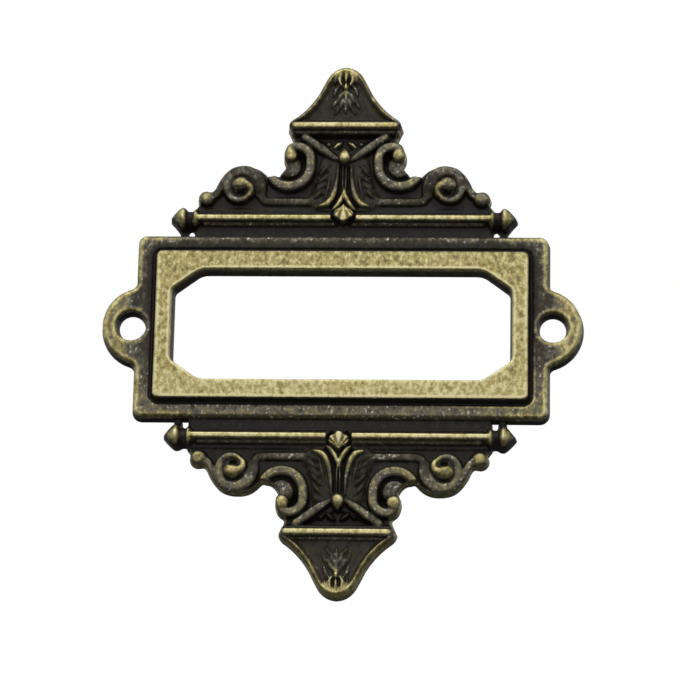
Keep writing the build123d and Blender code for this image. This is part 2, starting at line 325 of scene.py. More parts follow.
def backLoops(rim, foot):
    # closed loops of the outline as flat faces that look backwards
    following = {b: a for a, b in rim}
    loops = []
    while following:
        start, at = next(iter(following.items()))
        loop = [start]
        del following[start]
        while at != start:
            loop.append(at)
            at = following.pop(at)
        loops.append([foot(k) for k in loop])
    return loops


# plate with its screw ears, label frame and window; widths and heights are halves, but cutWidth and
# cutHeight are the sides of the corner that is cut off the window
plate = {
    "width": 26.05, "height": 12.0, "corner": 1.3, "edgeRound": 0.5, "draft": 0.26,
    "earX": 25.05, "earRadius": 5.2, "earFillet": 0.5,
    "holeX": 26.4, "holeRadius": 1.95, "holeDraft": 0.32, "holeMouth": 0.2,
    "frameWidth": 23.25, "frameHeight": 9.45, "frameCorner": 0.6, "frameRound": 0.14,
    # from the frame's face down the hollow moulding to the plate: distance out, height
    "coveProfile": ((0, 3.4), (0.1, 3.0), (0.2, 2.5), (0.32, 2.14), (0.46, 2.06), (0.58, 2.1),
                    (0.7, 2.22), (0.8, 2.25)),
    "windowWidth": 21.37, "windowHeight": 7.14, "cutWidth": 3.65, "cutHeight": 2.6, "windowCorner": 0.45,
    "windowRound": 0.12, "windowDraft": 0.25, "sideDraft": 0.3,
    "rebateWidth": 23.5, "rebateHeight": 8.9, "rebateCorner": 0.8, "rebateDepth": 0.6,
    # how bright each part is rubbed; frameEdgeHighlight and windowEdgeHighlight are painted highlight lines,
    # lowFaceLight and lowLedgeLight are painted light towards the bottom
    "faceRub": 0.68, "lowFaceLight": 0.12, "frameEdgeHighlight": 0.34, "windowEdgeHighlight": 0.42, "ledgeRub": 0.26,
    "lowLedgeLight": 0.12, "cornerRub": 0.08, "earRub": 0.22, "borderRub": 0.08, "sideBorderRub": 0.34,
    "mouthRub": 0.25, "coveRub": 0.02,
}


def windowField(x, z):
    # signed distance to the window, a box with its corners cut off
    w, h = plate["windowWidth"], plate["windowHeight"]
    cw, ch = plate["cutWidth"], plate["cutHeight"]
    slant = (ch * (np.abs(x) - w) + cw * (np.abs(z) - h + ch)) / hypot(cw, ch)
    sides = roundMeet(np.abs(x) - w, slant, plate["windowCorner"])
    return roundMeet(sides, np.abs(z) - h, plate["windowCorner"])


def spacedLines(stops):
    # grid lines from the middle outwards, each stretch with its own step
    lines = [0.0]
    for end, step in stops:
        count = max(1, round((end - lines[-1]) / step))
        lines += list(np.linspace(lines[-1], end, count + 1)[1:])
    half = np.array(lines)
    return np.concatenate([-half[:0:-1], half])


def makePlate():
    p = plate
    # finer where the moulding, the window's edge and the rounded rim run
    xs = spacedLines([(17.2, 0.55), (22.0, 0.13), (22.9, 0.2), (24.6, 0.085), (25.2, 0.15), (26.2, 0.09),
                      (30.4, 0.13)])
    zs = spacedLines([(1.9, 0.12), (4.2, 0.15), (7.7, 0.1), (8.7, 0.2), (10.8, 0.085), (11.3, 0.15),
                      (12.1, 0.08)])
    x, z = np.meshgrid(xs, zs)
    body = boxField(x, z, p["width"], p["height"], p["corner"])
    ears = np.hypot(np.abs(x) - p["earX"], z) - p["earRadius"]
    outer = roundJoin(body, ears, p["earFillet"]) + p["draft"]
    hole = p["holeRadius"] - np.hypot(np.abs(x) - p["holeX"], z)
    opening = windowField(x, z)
    field = np.maximum(np.maximum(outer, -opening), hole)
    rim = boxField(x, z, p["frameWidth"], p["frameHeight"], p["frameCorner"])
    away, level = zip(*p["coveProfile"])
    height = np.interp(rim, away, level)
    height -= edgeDrop(-rim, p["frameRound"]) * (rim < 0)
    height -= edgeDrop(opening, p["windowRound"])
    height -= edgeDrop(-outer, p["edgeRound"])
    height -= edgeDrop(-hole, p["holeMouth"]) * 0.8
    wearAndLight = plateWearAndLight(x, z, outer, rim, opening, hole)

    def wall(x, z):
        # height of its foot, how far the foot leans out, wear and painted light
        atWindow = windowField(x, z) < 1
        atHole = np.hypot(np.abs(x) - p["holeX"], z) < p["holeRadius"] + 0.5
        foot = np.where(atWindow, p["rebateDepth"], 0.0)
        slant = p["windowDraft"] + (p["sideDraft"] - p["windowDraft"]) * smoothStep(7.0, 4.6, np.abs(z))
        return foot, np.where(atHole, p["holeDraft"], np.where(atWindow, slant, p["draft"])), 0.0

    def back(x, z):
        step = boxField(x, z, p["rebateWidth"], p["rebateHeight"], p["rebateCorner"])
        return p["rebateDepth"] * (1 - smoothStep(-0.12, 0.0, step))

    return casting("castPlate", xs, zs, field, height, wearAndLight, wall, back)


def plateWearAndLight(x, z, outer, rim, opening, hole):
    # how far the dark finish is rubbed through: 0 dark, 1 bright, with painted light laid in: painted
    # highlight lines along the frame's outer edge and the window's edge, left off the frame's top edge and
    # the window's lower edge, the frame face darker along its top edge, face and ledge painted lighter
    # towards the bottom, painted shade on the ledge beside the frame, a painted highlight line on the lower
    # ledge, and the right ear painted a bit lighter
    p = plate
    # painted highlight lines along the frame's outer edge and the window's edge, left off the frame's top
    # edge and the window's lower edge
    frameEdgeLit = 1 - 0.8 * smoothStep(8.8, 9.3, z)
    windowEdgeLit = 1 - 0.75 * smoothStep(-6.2, -7.0, z) * (np.abs(x) < 20.5)
    # the frame face painted lighter towards the bottom, as painted light
    face = p["faceRub"] + p["lowFaceLight"] * smoothStep(-5.5, -8, z)
    face += p["frameEdgeHighlight"] * frameEdgeLit * smoothStep(0.5, 0.25, -rim)
    face += p["windowEdgeHighlight"] * windowEdgeLit * smoothStep(0.5, 0.25, opening)
    # the frame face darker along its top edge
    face -= 0.25 * (1 - frameEdgeLit) * smoothStep(0.5, 0.0, -rim)
    corner = smoothStep(17, 25, np.abs(x)) * smoothStep(6, 12, np.abs(z))
    sides = smoothStep(24.4, 25.2, np.abs(x))
    below = smoothStep(2, -11, z)
    # the ledge painted lighter towards the bottom, as painted light
    ledge = p["ledgeRub"] + p["lowLedgeLight"] * below + p["cornerRub"] * corner
    # painted shade on the ledge beside the frame, mostly on the upper ledge
    ledge -= 0.17 * smoothStep(1.7, 0.7, rim) * (1 - below * 0.9)
    # painted highlight line along the lower ledge's inner edge, on the right
    ledge += 0.3 * below * smoothStep(9, 22, x) * smoothStep(0.16, 0.08, np.abs(rim - 0.86))
    border = p["borderRub"] + p["sideBorderRub"] * sides + 0.2 * corner
    border = border * smoothStep(0.85, 0.35, -outer) * smoothStep(-0.1, 0.25, -outer)
    ear = (p["earRub"] + 0.03 * np.sign(x)) * smoothStep(26.0, 27.5, np.abs(x))  # the right one painted a bit lighter, as painted light from the right
    mouth = p["mouthRub"] * smoothStep(0.7, 0.3, -hole)
    cove = smoothStep(0, 0.1, rim) * smoothStep(0.72, 0.6, rim)
    around = ledge + np.maximum(border, mouth) + ear
    return np.where(rim < 0, face, around * (1 - cove) + p["coveRub"] * cove)


# pediment, drawn for the upper right quarter and mirrored; places are from the middle of the window
pediment = {
    "step": 0.1, "ground": 1.25, "draft": 0.2, "edgeRound": 0.28, "capRound": 0.52, "seat": 11.6,
    "stripWidth": 18.97, "rodZ": 14.08, "rodRadius": 0.52, "rodCrest": 2.8,
    "filletGap": 0.64, "filletRadius": 0.24, "filletCrest": 2.0, "tipX": 22.0, "axis": 1.25,
    "voluteX": 12.8, "voluteZ": 18.3, "scrollX": 7.0, "scrollZ": 21.1, "scrollReach": 2.7,
    "bulbX": 17.5, "bulbZ": 16.8, "bulbRadius": 1.13,
    "barZ": 26.24, "barRadius": 0.56, "barCrest": 3.2, "barTip": 7.4,
    "capTop": 34.39, "capField": 2.1, "capRim": 2.75,
    # how bright the rims and the walls are rubbed, the walls' share partly painted light; the painted
    # highlight on the lower small fillets; and the painted shade over the upper pediment, more at its outer
    # sides
    "rimRub": 0.44, "capRimRub": 0.14, "crownRub": 0.22, "wallWearAndLight": 0.66, "filletHighlight": 0.34,
    "barFilletHighlight": 0.33, "upperShadeShare": 0.93, "upperSideShade": 0.12,
    "wearFrom": 15.2,  # height where the ornament's rims and walls start to be worn
}


def capEdge(inward=0.0):
    # bell curve of the cap: hollow flank, short neck, round crown
    d = inward
    edge = bow((6.85 - d, 27.2), (4.98 - d, 28.8 - d), (3.5 - d, 30.8), 10) + [(3.0 - d, 31.8)]
    edge += bow((2.55 - d, 32.65), (1.72 - 0.7 * d, 33.72 - 0.7 * d), (0.6, 34.3 - d), 8)
    return edge + [(0, pediment["capTop"] - d)]


def pedimentOutline():
    # from the middle of the plate's edge out to the acorn, then up to the top of the cap
    p = pediment
    z, seat = p["rodZ"], p["seat"]
    edge = [(0, seat), (p["stripWidth"], seat), (p["stripWidth"], 12.5)]
    edge += bow((18.98, 12.55), (19.3, 12.78), (19.62, 12.5), 6) + [(19.65, seat), (20.75, seat)]
    edge += bow((20.78, 12.5), (21.35, z - 0.85), (21.8, z - 0.35), 6)
    edge += bow((p["tipX"], z - 0.12), (p["tipX"], z), (p["tipX"], z + 0.12), 3)
    edge += bow((21.8, z + 0.35), (21.35, z + 0.85), (20.78, z + 1.38), 6)
    edge += bow((20.65, z + 1.47), (20.25, z + 1.58), (19.85, z + 1.45), 5)
    edge += bow((19.7, z + 1.36), (19.35, z + 1.27), (19.0, z + 1.36), 5)
    edge += bow((19.05, 15.6), (18.75, 15.9), (18.55, 16.25), 4)
    edge += arc(p["bulbX"], p["bulbZ"], p["bulbRadius"], -30, 100, 12)
    edge += bow((17.0, 17.86), (16.8, 17.87), (16.6, 18.0), 3)
    edge += bow((16.4, 18.3), (15.9, 19.3), (15.3, 20.15), 6)
    edge += bow((15.1, 20.35), (14.2, 21.05), (12.9, 21.37), 8)
    edge += bow((12.7, 21.37), (11.1, 21.15), (9.8, 20.2), 8)
    edge += bow((9.6, 20.0), (9.37, 19.87), (9.1, 19.93), 4)
    edge += bow((8.9, 19.98), (8.15, 20.25), (7.5, 21.1), 7)
    edge += bow((7.5, 21.25), (7.84, 22.35), (7.6, 23.5), 8)
    edge += bow((7.5, 23.72), (7.2, 24.05), (6.8, 24.32), 4)
    edge += [(6.68, 24.55), (6.8, 24.95), (7.05, 25.5), (p["barTip"], p["barZ"]), (7.15, 26.85)]
    return edge + capEdge()


def mouldings(r):
    # rod with its fillets, collar, neck and acorn, frieze band
    p = pediment
    z = p["rodZ"]
    frieze = flow([(3.9, 16.5), (6.5, 16.5), (9.4, 16.52), (10.2, 16.8), (10.5, 17.5)])
    r.rib(frieze, 0.54, 1.66, [0.3, 0.3, 0.27, 0.2], foot=1.3, soft=0.15, full=3.0, bare=(0.6, 1.1))
    r.lay(15.55 - r.z, 1.4, 0.1, slope=0.2)
    r.wearAndLight *= 1 - 0.8 * smoothStep(1.5, 0.9, np.abs(r.z - z))
    for side in (-1, 1):
        line = [(0, z + side * p["filletGap"]), (17.7, z + side * p["filletGap"])]
        r.rib(line, p["filletRadius"], p["filletCrest"], 0.14, foot=1.3, soft=0.04, full=3.0, bare=(0.6, 1.0))
    r.rib([(0, z), (18.3, z)], p["rodRadius"], p["rodCrest"], 0.8, foot=1.4, soft=0.04, full=5.0,
          bare=(0.7, 0.95))
    # radius of collar, neck and acorn along the rod's axis
    turned = ((17.6, 0.54), (18.0, 0.64), (18.3, 0.88), (18.55, 1.18), (18.8, 1.3), (18.92, 1.15),
              (19.05, 1.02), (19.7, 1.02), (19.88, 1.3), (20.1, 1.54), (20.4, 1.58), (20.9, 1.3),
              (21.4, 0.85), (21.8, 0.45), (22.05, 0.1))
    at, radius = zip(*turned)
    girth = np.interp(r.x, at, radius)
    across = np.abs(r.z - z)
    inside = (r.x > 17.6) & (across < girth)
    lift = p["axis"] + 0.2 + np.sqrt(np.maximum(girth ** 2 - across ** 2, 0)) * 1.1
    wornAndLit = np.interp(r.x, (17.6, 18.1, 18.75, 18.95, 19.1, 19.75, 19.95, 20.2, 20.9, 21.6, 22),
                     (0.9, 0.85, 0.75, 0.3, 0.08, 0.08, 0.4, 0.9, 0.6, 0.4, 0.3))
    r.raiseTo(lift, inside, 0.03, wornAndLit * (1 - 0.7 * smoothStep(0.45, 0.95, across / girth)))
    r.h = np.where((r.x > 18.95) & ~inside, np.minimum(r.h, 1.1), r.h)


def volute(r):
    # band out to the bulb, then one broad low band: up the leg, over the top and in to the comma-shaped eye
    p = pediment
    x, z = p["voluteX"], p["voluteZ"]
    band = flow([(13.9, 20.6), (15.0, 19.9), (15.6, 18.9), (15.95, 18.0), (16.35, 17.35), (17.1, 16.95)])
    r.rib(band, [0.5, 0.62, 0.66, 0.62, 0.6, 0.62], [2.0, 2.1, 2.12, 2.1, 2.1, 2.1],
          [0.24, 0.33, 0.38, 0.38, 0.34, 0.34], foot=1.5, soft=0.06, full=4.0, bare=(0.6, 1.1))
    r.dome(17.42, 16.84, 1.16, 1.08, 2.3, 0.56, soft=0.06, full=3.5, bare=(0.5, 1.05))
    r.dome(x + 0.3, z, 1.7, 1.6, 2.3, 0.2, soft=0.06, full=4.0)
    ring = flow([(10.6, 17.5), (10.72, 18.6), (11.2, 19.6), (12.1, 20.3), (13.0, 20.46), (14.0, 20.2),
                 (14.65, 19.4), (14.85, 18.4), (14.65, 17.4), (14.0, 16.72), (13.2, 16.55), (12.45, 16.8),
                 (12.0, 17.3)])
    r.rib(ring, [0.7, 0.85, 0.86, 0.82, 0.78, 0.74, 0.68, 0.62, 0.56, 0.5, 0.46, 0.42, 0.36],
          [1.6, 2.0, 2.2, 2.3, 2.32, 2.3, 2.3, 2.3, 2.3, 2.3, 2.35, 2.4, 2.45],
          [0.16, 0.28, 0.34, 0.37, 0.38, 0.38, 0.39, 0.4, 0.4, 0.38, 0.38, 0.41, 0.5],
          foot=1.6, soft=0.08, full=4.0, bare=(0.75, 1.2))
    r.dome(x + 0.35, z + 0.3, 1.2, 0.98, 2.95, 0.58, turn=-12, foot=1.9, soft=0.06, full=3.0,
           bare=(0.8, 1.05))
    comma = flow([(12.3, 16.9), (11.88, 17.3), (11.8, 17.9), (12.15, 18.4), (12.9, 18.6)])
    r.rib(comma, [0.24, 0.42, 0.54, 0.66, 0.7], [2.45, 2.65, 2.8, 2.9, 2.95],
          [0.6, 0.74, 0.6, 0.56, 0.56], foot=1.9, soft=0.05, full=3.0, bare=(0.75, 1.0))
    r.groove([(12.85, 17.55), (13.2, 17.5)], 0.24, 0.6)


def cScroll(r):
    # letter-C scroll: broad flat band, hook that ends in a drop, smooth cushion inside
    p = pediment
    x, z, reach = p["scrollX"], p["scrollZ"], p["scrollReach"]
    r.dome(x - 0.15, z - 0.45, 1.95, 1.75, 2.1, 0.31, soft=0.1, full=3.0, bare=(0.5, 1.2))
    band = arc(x, z, reach, -38, -180, 16) + [(x - reach, z + 0.85)]
    band += arc(x - reach + 1.7, z + 0.85, 1.7, 170, 90, 8) + arc(x - reach + 1.75, z + 1.55, 1.05, 80, 5, 6)
    r.rib(band, [0.66, 0.74, 0.76, 0.74, 0.72, 0.7, 0.64], [2.25, 2.4, 2.45, 2.45, 2.45, 2.45, 2.5],
          [0.48, 0.41, 0.38, 0.39, 0.43, 0.41, 0.4], foot=1.4, soft=0.04, full=4.5, bare=(0.5, 1.1))
    r.rib(flow([(6.2, 23.75), (6.85, 23.5), (7.1, 22.95), (6.98, 22.45)]), [0.58, 0.74, 0.86, 0.86],
          [2.45, 2.52, 2.6, 2.62], [0.4, 0.48, 0.56, 0.6], soft=0.08, full=3.0, bare=(0.6, 1.1))
    r.dome(6.96, 22.45, 0.98, 0.95, 2.7, 0.62, foot=2.2, soft=0.16, full=3.0, bare=(0.7, 1.1))
    r.groove(arc(x, z, reach - 0.98, -40, -185, 14) + [(x - reach + 1.2, z + 1.5)], 0.16, 0.5)


def leafWork(r):
    # acanthus ground, fan of ribs, stem, and the palmette in its round groove
    half = bow((4.3, 16.9), (3.55, 18.1), (3.25, 19.6), 6) + bow((3.2, 20.3), (3.0, 21.3), (2.6, 22.1), 5)
    body = [(0, 15.3), (1.2, 15.2), (2.9, 15.35), (3.9, 15.9)] + half + [(0, 22.1)]
    r.lay(-outlineField(r.x, r.z, mirrored(body)), 1.62, 0.15, slope=0.8, soft=0.25)
    for a, b, c, width in (((3.9, 16.6), (3.3, 17.5), (2.6, 18.9), 0.5),
                           ((3.4, 18.3), (2.95, 19.1), (2.3, 20.0), 0.44),
                           ((3.05, 19.9), (2.6, 20.7), (1.9, 21.4), 0.4),
                           ((2.45, 16.9), (2.1, 18.2), (1.75, 20.2), 0.36)):
        r.rib(bow(a, b, c, 6), [0.6 * width, width, 0.5 * width], [1.75, 1.9, 1.72], [0.16, 0.23, 0.16],
              foot=1.4, soft=0.12)
    for z in (17.2, 18.2, 19.2, 20.2):
        r.groove([(2.2 + (20 - z) * 0.14, z + 0.15), (3.1 + (20 - z) * 0.24, z - 0.5)], 0.12, 0.18)
    outer = flow([(0.8, 21.3), (0.84, 20.0), (0.98, 18.9), (1.22, 17.75), (1.6, 16.8), (2.15, 16.15),
                  (3.0, 15.85)])
    r.rib(outer, [0.24, 0.3, 0.35, 0.41, 0.48, 0.5, 0.26], [1.85, 2.0, 2.05, 2.12, 2.2, 2.25, 2.05],
          [0.2, 0.27, 0.32, 0.4, 0.52, 0.72, 0.7], foot=1.55, soft=0.06, full=2.5, bare=(0.6, 1.1))
    leg = flow([(0, 17.75), (0.16, 17.2), (0.45, 16.5), (0.85, 15.85), (1.35, 15.25)])
    r.rib(leg, [0.28, 0.35, 0.4, 0.4, 0.28], [2.15, 2.28, 2.3, 2.3, 2.15], [0.55, 0.7, 0.72, 0.68, 0.55],
          foot=1.6, soft=0.05, full=2.5, bare=(0.6, 1.1))
    stem = [(0.2, 21.4), (0.22, 19.4), (0.12, 17.9)]
    r.rib(stem, [0.15, 0.2, 0.2], [1.9, 2.15, 2.25], [0.2, 0.3, 0.45], soft=0.04)
    r.groove(flow([(0.52, 21.0), (0.55, 19.4), (0.68, 17.9), (1.02, 16.7), (1.7, 15.7)]), 0.13, 0.4)
    r.groove([(0, 21.2), (0, 18.0)], 0.08, 0.25)
    ring = np.hypot(r.x, r.z - 14.55)
    hollow = smoothStep(1.56, 1.42, ring) * (r.z < 15.2)
    r.h = r.h - (r.h - 1.4) * hollow
    r.wearAndLight = r.wearAndLight * (1 - 0.95 * hollow)
    fan = mirrored([(0, 15.95), (0.45, 15.5), (1.05, 15.15), (1.36, 14.65), (1.26, 14.15), (0.8, 13.9),
                    (0.45, 13.55), (0, 13.4)])
    inside = -outlineField(r.x, r.z, fan)
    r.raiseTo(2.95 - edgeDrop(inside, 0.3), inside > 0, 0.03, 1.0)
    for x in (0.56, 1.5):
        vein = flow([(0.05 * x, 15.6), (0.5 * x, 15.0), (0.9 * x, 14.3), (x, 13.6)])
        r.groove(vein, 0.1, 0.35, [0.3, 0.8, 1, 1])


def strapWork(r, side):
    # pocket beside the bar with small leaf tips, straps that spread from the drop-shaped bead
    pocket = mirrored([(0, 23.1), (5.0, 25.35), (0, 25.35)])
    deep = smoothStep(-0.1, 0.25, -outlineField(r.x, r.z, pocket))
    r.h -= 0.35 * deep
    r.wearAndLight *= 1 - 0.6 * deep
    r.rib([(0, 25.38), (6.3, 25.38)], 0.24, 1.95, 0.38, foot=1.3, soft=0.05)
    strap = flow([(0.7, 21.95), (1.6, 22.5), (3.1, 23.55), (4.4, 24.5), (5.1, 24.95)])
    r.rib(strap, [0.34, 0.56, 0.66, 0.66, 0.6], [2.0, 2.2, 2.28, 2.3, 2.25],
          [0.3, 0.33, 0.34, 0.34, 0.44], foot=1.4, soft=0.08, full=3.5, bare=(0.45, 1.1))
    tips = (([(0.45, 24.4), (0.9, 24.1), (1.3, 23.75)], 0.65 + 0.55 * side),
            ([(1.85, 24.0), (2.0, 24.1), (2.2, 24.15)], 0.25 + 0.15 * side))  # the upper ones carry painted glints, the lower ones stay dark
    for line, wearAndLight in tips:
        r.rib(line, [0.16, 0.3, 0.22], [1.5, 1.7, 1.6], wearAndLight, foot=1.42, soft=0.03, full=3.0, bare=(0.9, 1.2))
    r.rib([(0, 23.2), (0, 22.1)], [0.26, 0.6, 0.78, 0.82], [2.4, 2.7, 2.9, 2.95], [0.55, 0.75, 0.95, 1.0],
          foot=2.0, soft=0.05, full=3.0, bare=(0.75, 1.1))


def capWork(r):
    # bell cap: rounded rim round a shallow field, leaf hanging from the crown, shelf bar below
    p = pediment
    shape = outlineField(r.x, r.z, mirrored([(0, 20), (8.4, 20), (7.6, 26.3)] + capEdge(0.12)))
    crown = smoothStep(31.5, 34.0, r.z)
    away = -shape
    crest = 0.44 + 0.12 * crown
    fall = np.exp(-(np.maximum(away - crest, 0) / 0.32) ** 2)
    hollow = p["capField"] - 0.12 * smoothStep(32, 27, r.z)
    on = (r.z > 26.3) & (shape < 0.4)
    r.h = np.where(on, hollow + (p["capRim"] - hollow) * fall, r.h)
    r.wearAndLight = np.where(on, 0.16 + 0.12 * crown + 0.12 * smoothStep(1.6, 0.3, away), r.wearAndLight)
    # leaves from the crown down: path, half widths, crest, wear
    leaves = (
        ([(0.3, 33.75), (0.85, 33.4), (1.3, 32.7), (1.38, 32.0)], [0.3, 0.36, 0.32, 0.14], 2.75,
         [0.75, 0.66, 0.5, 0.3]),
        ([(0.3, 33.65), (0.72, 33.0), (0.8, 32.3), (0.5, 31.7)], [0.26, 0.36, 0.34, 0.2], 2.75,
         [0.6, 0.66, 0.78, 0.7]),
        ([(0, 33.8), (0, 33.0), (0, 32.1)], [0.42, 0.36, 0.16], 2.8, [0.62, 0.75, 0.85]),
        ([(0, 31.8), (0, 31.35)], [0.26, 0.4], 2.8, 1.0),
        ([(0, 31.2), (0, 30.6), (0, 29.9)], [0.34, 0.36, 0.2], 2.5, [0.9, 0.45, 0.3]),
        ([(0.95, 31.7), (1.3, 31.1), (1.5, 30.4)], [0.2, 0.32, 0.14], 2.4, 0.34),
        ([(0.25, 30.9), (0.75, 30.3), (1.0, 29.6)], [0.24, 0.38, 0.16], 2.4, 0.36),
        ([(0.75, 30.2), (1.35, 29.6), (1.7, 28.9)], [0.2, 0.36, 0.14], 2.35, 0.28),
        ([(0.1, 30.2), (0.5, 29.5), (0.65, 28.8)], [0.2, 0.36, 0.16], 2.38, 0.34),
        ([(0, 29.7), (0, 29.0), (0, 28.2)], [0.16, 0.3, 0.14], 2.35, 0.3),
        ([(0.6, 29.0), (1.05, 28.5), (1.3, 28.0)], [0.16, 0.3, 0.12], 2.28, 0.24))
    for points, width, crest, wearAndLight in leaves:
        r.rib(flow(points), width, crest, wearAndLight, foot=2.0, soft=0.1, bare=(0.6, 1.1))
    z = p["barZ"]
    r.h = np.where((np.abs(r.z - z) < 0.86) & (r.x < 7.2), np.maximum(r.h, 1.9), r.h)
    for side in (-1, 1):
        line = [(0, z + side * 0.7), (6.5, z + side * 0.7)]
        r.rib(line, 0.26, 2.35, 0.14, foot=1.8, soft=0.04, full=3.0, bare=(0.6, 1.0))
    r.rib([(0, z), (6.3, z)], p["barRadius"], p["barCrest"], 0.8, foot=1.7, soft=0.04, full=5.0,
          bare=(0.7, 0.95))


def pedimentRub(r, inside):
    # high spots catch more wear, hollows keep the dark finish
    weight = inside.astype(float)
    near = spread(r.h, weight, 0.35 / pediment["step"])
    wornAndLit = spread(r.wearAndLight, weight, 0.07 / pediment["step"])
    slopeZ, slopeX = np.gradient(r.h, pediment["step"])
    steep = smoothStep(0.9, 2.4, np.hypot(slopeX, slopeZ))
    return np.clip(wornAndLit * (1 + 0.7 * np.clip(r.h - near, -0.5, 0.35)) * (1 - 0.75 * steep), 0, 1)


def makePediment(name, side):
    # side is 1 for the upper one, -1 for the lower
    p = pediment
    xs = np.arange(0, 22.4, p["step"])
    zs = np.arange(p["seat"] - 0.2, 34.7, p["step"])
    r = Relief(xs, zs, p["ground"], 0.08)
    shape = outlineField(r.x, r.z, mirrored(pedimentOutline())) + p["draft"]
    mouldings(r)
    volute(r)
    cScroll(r)
    leafWork(r)
    strapWork(r, side)
    capWork(r)
    r.h = np.where(shape < 0.2, r.h, np.minimum(r.h, 2.4))
    r.h = spread(r.h, np.ones(r.h.shape), 0.55)
    onCap, crown = smoothStep(26.8, 27.6, r.z), smoothStep(31.5, 33.8, r.z)
    edgeRound = p["edgeRound"] + (p["capRound"] - p["edgeRound"]) * onCap
    r.h -= edgeDrop(-shape, edgeRound) * (r.z > 12.3)
    wearAndLight = pedimentRub(r, shape < 0)
    rim = smoothStep(-0.34 - 0.44 * onCap - 0.36 * crown, -0.1 - 0.38 * onCap, shape)
    rimRub = p["rimRub"] + p["capRimRub"] * onCap + p["crownRub"] * crown
    wearAndLight = np.maximum(wearAndLight, rimRub * rim * smoothStep(p["wearFrom"], p["wearFrom"] + 1, r.z))
    # of the two fillets beside the rod, and beside the bar, the lower one gets a painted highlight line
    below = np.abs((p["rodZ"] - r.z) * side - p["filletGap"] - 0.03)
    clear = (r.x < 17.6) & (np.hypot(r.x, r.z - 14.5) > 1.6)
    wearAndLight = np.maximum(wearAndLight, p["filletHighlight"] * smoothStep(0.22, 0.1, below) * clear)
    below = np.abs((p["barZ"] - r.z) * side - 0.72)
    wearAndLight = np.maximum(wearAndLight, p["barFilletHighlight"] * smoothStep(0.2, 0.08, below) * (r.x < 6.3))
    # painted shade: the upper pediment darker, its outer scrolls more
    if side > 0:
        outer = smoothStep(8.5, 10.5, r.x) * smoothStep(p["wearFrom"], p["wearFrom"] + 0.8, r.z)
        wearAndLight *= p["upperShadeShare"] - p["upperSideShade"] * outer
    height, wearAndLight, shape = (np.concatenate([a[:, :0:-1], a], 1) for a in (r.h, wearAndLight, shape))
    xs = np.concatenate([-xs[:0:-1], xs])
    if side < 0:
        zs, height, wearAndLight, shape = -zs[::-1], height[::-1], wearAndLight[::-1], shape[::-1]

    def wall(x, z):
        # straight where it runs under the plate
        draft = np.where(np.abs(z) < plate["height"], 0.0, p["draft"])
        past = smoothStep(p["wearFrom"], p["wearFrom"] + 1, np.abs(z))
        # past wearFrom the walls are worn and also painted lighter, as painted light
        return np.zeros(len(x)), draft, p["wallWearAndLight"] * past

    return casting(name, xs, zs, shape, height, wearAndLight, wall)


class Socket:
    # an output of a node; sums and products of sockets add their own Math nodes
    def __init__(self, nodes, output):
        self.nodes, self.output = nodes, output

    def math(self, operation, a, b, clamp=False):
        return self.nodes.add("Math", {"operation": operation, "use_clamp": clamp}, {0: a, 1: b})

    def __add__(self, other):
        return self.math("ADD", self, other)

    def __radd__(self, other):
        return self.math("ADD", other, self)

    def __sub__(self, other):
        return self.math("SUBTRACT", self, other)

    def __rsub__(self, other):
        return self.math("SUBTRACT", other, self)

    def __mul__(self, other):
        return self.math("MULTIPLY", self, other)

    def __rmul__(self, other):
        return self.math("MULTIPLY", other, self)

    def clip(self):
        return self.math("ADD", self, 0.0, clamp=True)

    def ramp(self, low, high):
        # 0 below low, 1 above high, soft between
        return self.nodes.add("MapRange", {"interpolation_type": "SMOOTHSTEP"},
                              {"Value": self, "From Min": low, "From Max": high}, "Result")


class NodeTree:
    # the nodes of one material or world; each one is added here
    def __init__(self, owner):
        owner.use_nodes = True
        self.tree = owner.node_tree

    def add(self, kind, settings={}, sockets={}, output=0):
        made = self.tree.nodes.new("ShaderNode" + kind)
        for key, value in settings.items():
            setattr(made, key, value)
        self.feed(made, sockets)
        return Socket(self, made.outputs[output])

    def feed(self, node, sockets):
        # values or links for the inputs of a node
        for key, value in sockets.items():
            if isinstance(value, Socket):
                self.tree.links.new(value.output, node.inputs[key])
            else:
                node.inputs[key].default_value = value

    def noise(self, at, scale, detail):
        return self.add("TexNoise", {}, {"Vector": at, "Scale": scale, "Detail": detail}, "Fac")

    def blend(self, share, a, b):
        # colour a where share is 0, colour b where it is 1
        return self.add("Mix", {"data_type": "RGBA"}, {0: share, 6: a, 7: b}, 2)


finishAndGlint = {
    "brassLight": (0.92, 0.84, 0.48, 1), "brassMid": (0.53, 0.45, 0.175, 1),
    "brassDeep": (0.27, 0.22, 0.065, 1), "grey": (0.168, 0.158, 0.138, 1),
    "brown": (0.056, 0.046, 0.025, 1), "black": (0.011, 0.009, 0.006, 1),
    # glint is the colour of painted glints
    "glint": (0.80, 0.79, 0.74, 1), "glintShare": 0.7,
    # how fine each unevenness and the painted glint spots are, in patches to the metre
    "mottle": 1200, "smear": 2300, "speckle": 4600, "glintSpots": 2600,
    "smearTurn": -35, "smearLength": 0.66, "metal": 0.95, "roughness": 0.46, "specular": 0.3,
    "bump": 0.4, "bumpHeight": 0.06 * mm,
}


